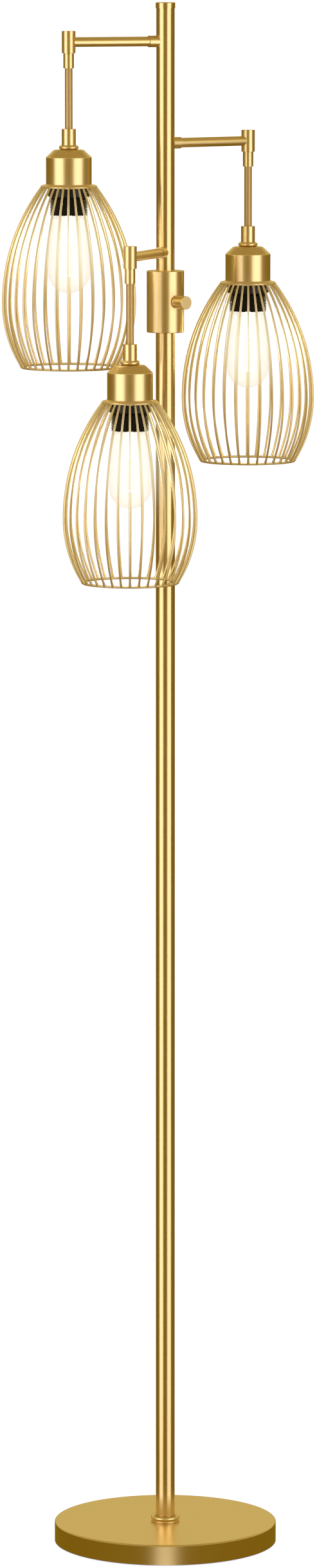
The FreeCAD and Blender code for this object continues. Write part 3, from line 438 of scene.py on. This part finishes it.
# %% One wire
WIRE_SIDES = 8
UPPER_STEPS = 16
LOWER_STEPS = 11
TIP_NECK, TIP_NECK_SQUEEZE = 0.0012, 0.92
TIP_END, TIP_END_SQUEEZE = 0.0005, 0.55
WELD_SWELL = 1.35
SAME_PLACE = 1e-6


def arc_of(rise, inward):
    """Radius and angle of an arc that leaves the belly upright and ends inward by some way."""
    radius = (inward ** 2 + rise ** 2) / (2 * inward)
    return radius, math.asin(rise / radius)


def sweep(steps, angle, centre_x, centre_z):
    """Spin what is selected in the plane of X and Z."""
    bpy.ops.mesh.spin(
        steps=steps, angle=angle, center=(centre_x, 0, centre_z), axis=(0, 1, 0)
    )


def taper_end(step, squeeze, centre):
    """Carry the selected ring on by a step and squeeze it towards its middle."""
    bpy.ops.mesh.extrude_region_move(TRANSFORM_OT_translate={"value": step})
    bpy.ops.transform.resize(value=(squeeze, squeeze, squeeze), center_override=centre)


def make_wire():
    """One wire in the plane of X and Z, with the rim's level at RIM_LEVEL."""
    belly_level = RIM_LEVEL - BELLY_DROP
    upper_radius, upper_angle = arc_of(BELLY_DROP, BELLY_REACH - RIM_REACH)
    lower_radius, lower_angle = arc_of(MOUTH_DROP, BELLY_REACH - MOUTH_REACH)
    deselect()
    bpy.ops.mesh.primitive_circle_add(
        vertices=WIRE_SIDES, radius=WIRE_RADIUS, location=(BELLY_REACH, 0, belly_level)
    )
    wire = bpy.context.object
    bpy.ops.object.transform_apply(location=True)
    edit(wire)
    select_points(wire, lambda place: True)
    sweep(UPPER_STEPS, upper_angle, BELLY_REACH - upper_radius, belly_level)
    tip = Vector((RIM_REACH, 0, RIM_LEVEL))
    climb = Vector((-math.sin(upper_angle), 0, math.cos(upper_angle)))
    taper_end(climb * TIP_NECK, TIP_NECK_SQUEEZE, tip + climb * TIP_NECK)
    taper_end(climb * TIP_END, TIP_END_SQUEEZE, tip + climb * (TIP_NECK + TIP_END))
    bpy.ops.mesh.edge_face_add()
    select_points(wire, lambda place: abs(place.z - belly_level) < SAME_PLACE)
    sweep(LOWER_STEPS, -lower_angle, BELLY_REACH - lower_radius, belly_level)
    foot = Vector((MOUTH_REACH, 0, RIM_LEVEL - BELLY_DROP - MOUTH_DROP))
    bpy.ops.transform.resize(value=(WELD_SWELL, WELD_SWELL, WELD_SWELL), center_override=foot)
    bpy.ops.mesh.edge_face_add()
    bpy.ops.mesh.select_all(action="SELECT")
    bpy.ops.mesh.remove_doubles(threshold=SAME_PLACE)
    bpy.ops.mesh.normals_make_consistent(inside=False)
    return settle(wire, "cage_wire")


pattern_wire = make_wire()
low = min(point.co.z for point in pattern_wire.data.vertices)
high = max(point.co.z for point in pattern_wire.data.vertices)
print(f"one wire has {len(pattern_wire.data.polygons)} faces, from {low:.4f} to {high:.4f} m")

# %% [markdown]
# ## Spinning a drawn outline
#
# The collar is a small flared dish that the lamp holder's ring clamps under the cap, and its
# edge is rolled over a wire. Both it and the mouth ring are round about the head's axis, so a
# drawn outline is spun once round. The mouth ring's outline is a circle, flattened a touch
# where the welding jaws have pressed it.

# %% Outline and spin
SEED_SIZE = 0.001
SEAM_GAP = 2e-6


def outline(corners):
    """A closed ring of edges in the plane of X and Z, drawn by extruding a single point."""
    deselect()
    bpy.ops.mesh.primitive_plane_add(size=SEED_SIZE, location=(0, 0, 0))
    piece = bpy.context.object
    bpy.ops.object.mode_set(mode="EDIT")
    bpy.ops.mesh.select_all(action="SELECT")
    bpy.ops.mesh.merge(type="CENTER")
    bpy.ops.transform.translate(value=(corners[0][0], 0, corners[0][1]))
    for before, after in zip(corners, corners[1:]):
        step = (after[0] - before[0], 0, after[1] - before[1])
        bpy.ops.mesh.extrude_region_move(TRANSFORM_OT_translate={"value": step})
    bpy.ops.mesh.select_all(action="SELECT")
    bpy.ops.mesh.edge_face_add()
    bpy.ops.mesh.delete(type="ONLY_FACE")
    return piece


def spin_round(piece, steps, name):
    """Spin an outline once round the Z axis and close it on itself."""
    bpy.ops.mesh.select_all(action="SELECT")
    bpy.ops.mesh.spin(steps=steps, angle=math.tau, center=(0, 0, 0), axis=(0, 0, 1))
    bpy.ops.mesh.select_all(action="SELECT")
    bpy.ops.mesh.remove_doubles(threshold=SEAM_GAP)
    bpy.ops.mesh.normals_make_consistent(inside=False)
    return settle(piece, name)


def round_section(reach, level, radius, sides, flat=1.0):
    """The corners of a circle round a point of the section, squeezed in height by a factor."""
    turns = [math.tau * side / sides for side in range(sides)]
    return [
        (reach + radius * math.cos(turn), level + flat * radius * math.sin(turn))
        for turn in turns
    ]


print("outline and spin ready")

# %% [markdown]
# ## Drawing the collar and the mouth ring
#
# The collar's section is a thin sheet that runs out to the rim, and then most of a circle for the
# roll. Thickening a flat sheet afterwards would leave the roll's join to chance, so the section is
# drawn whole. The mouth ring needs no more than a closed round section.

# %% Collar and mouth ring
COLLAR_BORE = 0.0198
COLLAR_FLAT = 0.024
COLLAR_TOP = RIM_LEVEL + 0.0027
COLLAR_SHEET = 0.001
COLLAR_FALL = 0.0022
ROLL_LEAD = 25
ROLL_TURN = 310
ROLL_STEPS = 9
COLLAR_STEPS = 96
RING_SIDES = 10
RING_FLAT = 0.96
RING_STEPS = 120


def make_collar():
    """Flared sheet whose edge ends in the rolled rim."""
    slope = COLLAR_FALL / (RIM_REACH - COLLAR_FLAT)
    start = math.radians(90) - math.atan(slope)
    rolls = [
        start + math.radians(ROLL_LEAD) - math.radians(ROLL_TURN) * step / ROLL_STEPS
        for step in range(ROLL_STEPS + 1)
    ]
    rim = [
        (RIM_REACH + RING_RADIUS * math.cos(turn), RIM_LEVEL + RING_RADIUS * math.sin(turn))
        for turn in rolls
    ]
    sheet_top = [(COLLAR_BORE, COLLAR_TOP), (COLLAR_FLAT, COLLAR_TOP)]
    underside = COLLAR_TOP - COLLAR_SHEET
    sheet_foot = [(COLLAR_FLAT, underside), (COLLAR_BORE, underside)]
    return spin_round(outline(sheet_top + rim + sheet_foot), COLLAR_STEPS, "cage_collar")


def make_mouth_ring():
    """Round ring, a touch flattened, that the wires' lower ends are welded to."""
    level = RIM_LEVEL - BELLY_DROP - MOUTH_DROP
    section = round_section(MOUTH_REACH, level, RING_RADIUS, RING_SIDES, flat=RING_FLAT)
    return spin_round(outline(section), RING_STEPS, "cage_mouth_ring")


pattern_collar = make_collar()
pattern_ring = make_mouth_ring()
for piece in (pattern_collar, pattern_ring):
    print(f"{piece.name} has {len(piece.data.polygons)} faces")

# %% [markdown]
# ## Three cages
#
# One cage is set out once: the pattern wire is copied and turned for each place, with one wire
# exactly at the front, and all are joined with the collar and the ring. The cage is then copied
# to each head, every copy with its own mesh, and rides on that head, so that it turns with it.
# It takes the place of the construction model's plainer cage and its mouth ring.

# %% Set out and hang the cages
def copy_of(piece, name, move):
    """A copy of a piece with its own mesh, moved by a matrix."""
    twin = piece.copy()
    twin.data = piece.data.copy()
    twin.data.transform(move)
    twin.name = name
    twin.data.name = name
    scene.collection.objects.link(twin)
    return twin


def join(members, name):
    """Join several pieces into the first."""
    deselect()
    for member in members:
        member.select_set(True)
    bpy.context.view_layer.objects.active = members[0]
    bpy.ops.object.join()
    members[0].name = name
    members[0].data.name = name
    return members[0]


wires = []
for number in range(CAGE_WIRES):
    turn = math.radians(-90 + 360 * number / CAGE_WIRES)
    wires.append(copy_of(pattern_wire, f"wire_{number}", Matrix.Rotation(turn, 4, "Z")))
for wire in wires:
    dress(wire, wire_gold)
dress(pattern_collar, gold)
dress(pattern_ring, wire_gold)
pattern_cage = join([*wires, pattern_collar, pattern_ring], "pattern_cage")

cages = {}
for head in HEADS:
    cages[head] = copy_of(pattern_cage, f"wire_cage_{head}", Matrix.Translation(head_axis(head)))
    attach(cages[head], f"head_{head}")
    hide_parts(f"cage_{head}", f"cage_ring_{head}")
for spare in (pattern_cage, pattern_wire):
    bpy.data.objects.remove(spare)
print(f"{len(cages)} cages of {len(cages[1].data.polygons)} faces each")

# %% [markdown]
# ## The ring at the foot of the pole
#
# In the photograph the pole sinks into a rolled ring with a dark gap round it. The ring is spun
# once round the pole: a full round roll, whose inner side drops into a narrow gap.

# %% Foot ring
FOOT_LEVEL = 0.022
FOOT_BORE = 0.01015
FOOT_GAP_FLOOR = 0.0012
FOOT_ROLL_REACH = 0.01285
FOOT_ROLL_LEVEL = 0.0030
FOOT_ROLL_RADIUS = 0.0025
FOOT_ROLL_START = 200
FOOT_ROLL_TURN = 260
FOOT_ROLL_STEPS = 15
FOOT_STEPS = 96


def make_foot_ring():
    """Rolled ring that stands on the base, open to the pole by a narrow gap."""
    turns = [
        math.radians(FOOT_ROLL_START - FOOT_ROLL_TURN * step / FOOT_ROLL_STEPS)
        for step in range(FOOT_ROLL_STEPS + 1)
    ]
    roll = [
        (
            FOOT_ROLL_REACH + FOOT_ROLL_RADIUS * math.cos(turn),
            FOOT_LEVEL + FOOT_ROLL_LEVEL + FOOT_ROLL_RADIUS * math.sin(turn),
        )
        for turn in turns
    ]
    gap_floor = FOOT_LEVEL + FOOT_GAP_FLOOR
    foot_reach = roll[-1][0]
    inside = [(FOOT_BORE, FOOT_LEVEL), (FOOT_BORE, gap_floor), (roll[0][0], gap_floor)]
    section = inside + roll + [(foot_reach, FOOT_LEVEL)]
    return spin_round(outline(section), FOOT_STEPS, "foot_ring")


foot_ring = make_foot_ring()
dress(foot_ring, gold)
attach(foot_ring, "stand")
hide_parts("base_bead")
print(f"foot ring of {len(foot_ring.data.polygons)} faces")

# %% [markdown]
# ## The floor
#
# The photograph is a studio shot on pure white. The floor is a wide pale sheet that runs into a
# white surround. It glows a little of its own, so that it stays white without strong lamps, and
# it is hidden from mirror reflections, so that the gold above it keeps its depth.

# %% Floor
FLOOR_SIZE = 120
FLOOR_LEVEL = -0.0005
FLOOR_GLOW = (0.66, 0.72, 0.95, 1)
FLOOR_DEEP, FLOOR_LIGHT = (0.86, 0.86, 0.86, 1), (0.9, 0.9, 0.9, 1)
FLOOR_CLOUDS = 1.5


def pale_floor():
    """A wide, almost white sheet with a faint mottle."""
    finish = Finish("pale_floor", {"Specular IOR Level": 0.2, "Emission Strength": 1.0})
    clouds = finish.noise(FLOOR_CLOUDS)
    finish.vary("Base Color", clouds.blend(FLOOR_DEEP, FLOOR_LIGHT))
    finish.vary("Roughness", 0.8 + 0.1 * clouds)
    finish.shader.inputs["Emission Color"].default_value = FLOOR_GLOW
    return finish.material


deselect()
bpy.ops.mesh.primitive_plane_add(size=FLOOR_SIZE, location=(0, 0, FLOOR_LEVEL))
floor = bpy.context.object
floor.name = "studio_floor"
floor.data.materials.append(pale_floor())
floor.visible_glossy = False
floor.visible_shadow = False
print(f"{floor.name} is {FLOOR_SIZE} m wide")

# %% [markdown]
# ## Soft boxes
#
# Two tall soft boxes stand in front, one on each side, and draw the two upright bands that every
# tube shows, with a dark band between them. In the photograph the side of the base is dark, with
# one soft light in its middle. So the tall boxes leave the base out, which a studio does with
# black cloth, and a small box low in front lights the base alone.

# %% Soft boxes
BOX_AIM = (0, 0, 0.75)
BOX_SIZE = (2.3, 2.9)
LEFT_PLACE, LEFT_POWER = (-2.07, -1.67, 0.75), 32
RIGHT_PLACE, RIGHT_POWER = (1.95, -1.80, 0.75), 31
LOW_PLACE, LOW_AIM = (0, -1.1, -0.30), (0, 0, 0.0)
LOW_SIZE, LOW_POWER = (0.34, 0.2), 0.36


def soft_box(name, place, aim, size, power):
    """An area light of some width and height at a place, turned to face a point."""
    data = bpy.data.lights.new(name, "AREA")
    data.shape = "RECTANGLE"
    data.size, data.size_y = size
    data.energy = power
    light = bpy.data.objects.new(name, data)
    light.location = place
    direction = Vector(aim) - Vector(place)
    light.rotation_euler = direction.to_track_quat("-Z", "Y").to_euler()
    scene.collection.objects.link(light)
    return light


def lit_by(light, members, state):
    """Let a light reach only these pieces (INCLUDE), or all but these (EXCLUDE)."""
    linked = bpy.data.collections.new(f"{light.name}_{state.lower()}")
    for number, member in enumerate(members):
        linked.objects.link(member)
        linked.collection_objects[number].light_linking.link_state = state
    light.light_linking.receiver_collection = linked


base_cover = frame["nodes"]["base_cover"]
left_box = soft_box("left_box", LEFT_PLACE, BOX_AIM, BOX_SIZE, LEFT_POWER)
right_box = soft_box("right_box", RIGHT_PLACE, BOX_AIM, BOX_SIZE, RIGHT_POWER)
floor_glow = soft_box("floor_glow", LOW_PLACE, LOW_AIM, LOW_SIZE, LOW_POWER)
lit_by(left_box, [base_cover], "EXCLUDE")
lit_by(right_box, [base_cover], "EXCLUDE")
lit_by(floor_glow, [base_cover], "INCLUDE")
print("three soft boxes")

# %% [markdown]
# ## Light from the bulbs
#
# A lit bulb lights the cage round it, most of all the far wires, whose lit side faces the
# camera. They turn pale against the white wall, and the near wires stand out. Emission on the
# filaments would do the same but with more noise, so a small point light stands in each bulb.

# %% Bulb light
BULB_LIGHT_LEVEL = -0.22
BULB_LIGHT_POWER = 0.25
BULB_LIGHT_COLOUR = (1.0, 0.96, 0.84)
BULB_LIGHT_RADIUS = 0.012


def bulb_light(head):
    """The light that a bulb throws on the wires round it, most of all on the far ones."""
    data = bpy.data.lights.new(f"bulb_light_{head}", "POINT")
    data.energy = BULB_LIGHT_POWER
    data.color = BULB_LIGHT_COLOUR
    data.shadow_soft_size = BULB_LIGHT_RADIUS
    light = bpy.data.objects.new(data.name, data)
    light.location = head_axis(head) + Vector((0, 0, BULB_LIGHT_LEVEL))
    scene.collection.objects.link(light)
    lit_by(light, [cages[head]], "INCLUDE")
    return light


print([bulb_light(head).name for head in HEADS])

# %% [markdown]
# ## What the gold mirrors
#
# Polished metal mostly shows what is round it. The camera sees plain white, but the metal sees a
# warm and dim surround that is dark below the horizon, brightest a little above it and medium
# overhead. The tubes mirror the dark part, the top of the base mirrors the bright one, and the
# shoulders of the caps mirror the last.

# %% Surround
SURROUND_LOW = (0.23, 0.15, 0.007, 1)
SURROUND_BANDS = (
    (0.03, 0.21, (0.78, 0.66, 0.28, 1)),
    (0.36, 0.62, (0.44, 0.33, 0.12, 1)),
)


def surround():
    """White to the camera; to the metal, warm and dim, brighter above the horizon."""
    world = bpy.data.worlds.new("studio_surround")
    world.use_nodes = True
    tree = world.node_tree
    start = Signal(tree)
    background = tree.nodes["Background"]
    seen = start.node("ShaderNodeLightPath", {}, {}, output="Is Camera Ray")
    upward = start.node("ShaderNodeTexCoord", {}, {}, output="Generated")
    level = start.node("ShaderNodeSeparateXYZ", {}, {"Vector": upward}, output="Z")
    lit = SURROUND_LOW
    for low, high, colour in SURROUND_BANDS:
        climb = start.node(
            "ShaderNodeMapRange",
            {"interpolation_type": "SMOOTHSTEP"},
            {"Value": level, "From Min": low, "From Max": high},
        )
        lit = climb.blend(lit, colour)
    start.feed(background.inputs["Color"], seen.blend(lit, (1, 1, 1, 1)))
    scene.world = world


surround()
scene.view_settings.view_transform = "Standard"
print(f"surround with {len(SURROUND_BANDS)} bands above its low one")

# %% [markdown]
# ## A soft glow
#
# The lit bulbs wash over the wires in front of them. That spill happens in the camera's lens, so
# it is added to the finished picture. A glare node picks out what is far brighter than white, a
# wide blur spreads it, and a screen blend lays it over the picture. It is kept off the darkest
# parts, since the photograph's black holders stay black.
#
# A screen blend is 1 - (1 - a)(1 - b), which expects values up to 1. Seen from much closer than
# here, the filaments come out dark and blue, most likely because the spill is above 1 there.

# %% Glow
GLOW_THRESHOLD = 1.6
GLOW_MAXIMUM = 30.0
GLOW_REACH = 0.034
SPILL_TINT = (1.6, 1.7, 1.9, 1)
DARK_BELOW, LIT_ABOVE = 0.03, 0.15

scene.use_nodes = True
after = Signal(scene.node_tree)
for spare in list(scene.node_tree.nodes):
    scene.node_tree.nodes.remove(spare)
picture = after.node("CompositorNodeRLayers", {}, {})
glints = after.node(
    "CompositorNodeGlare",
    {"glare_type": "BLOOM", "quality": "HIGH"},
    {"Image": picture, "Threshold": GLOW_THRESHOLD, "Clamp": True, "Maximum": GLOW_MAXIMUM},
    output="Highlights",
)
reach = after.node(
    "CompositorNodeRelativeToPixel",
    {"data_type": "VECTOR", "reference_dimension": "Y"},
    {0: (GLOW_REACH, GLOW_REACH), "Image": picture},
    output=1,
)
spread = after.node(
    "CompositorNodeBlur", {"filter_type": "GAUSS"}, {"Image": glints, "Size": reach}
)
spill = after.node(
    "CompositorNodeMixRGB", {"blend_type": "MULTIPLY"}, {0: 1.0, 1: spread, 2: SPILL_TINT}
)
brightness = after.node("CompositorNodeRGBToBW", {}, {"Image": picture})
lifted = after.node(
    "CompositorNodeMapRange",
    {"use_clamp": True},
    {
        "Value": brightness,
        "From Min": DARK_BELOW,
        "From Max": LIT_ABOVE,
        "To Min": 0.0,
        "To Max": 1.0,
    },
)
bloomed = after.node(
    "CompositorNodeMixRGB", {"blend_type": "SCREEN"}, {0: lifted, 1: picture, 2: spill}
)
after.node("CompositorNodeComposite", {}, {"Image": bloomed}, output=None)
print("glow added")
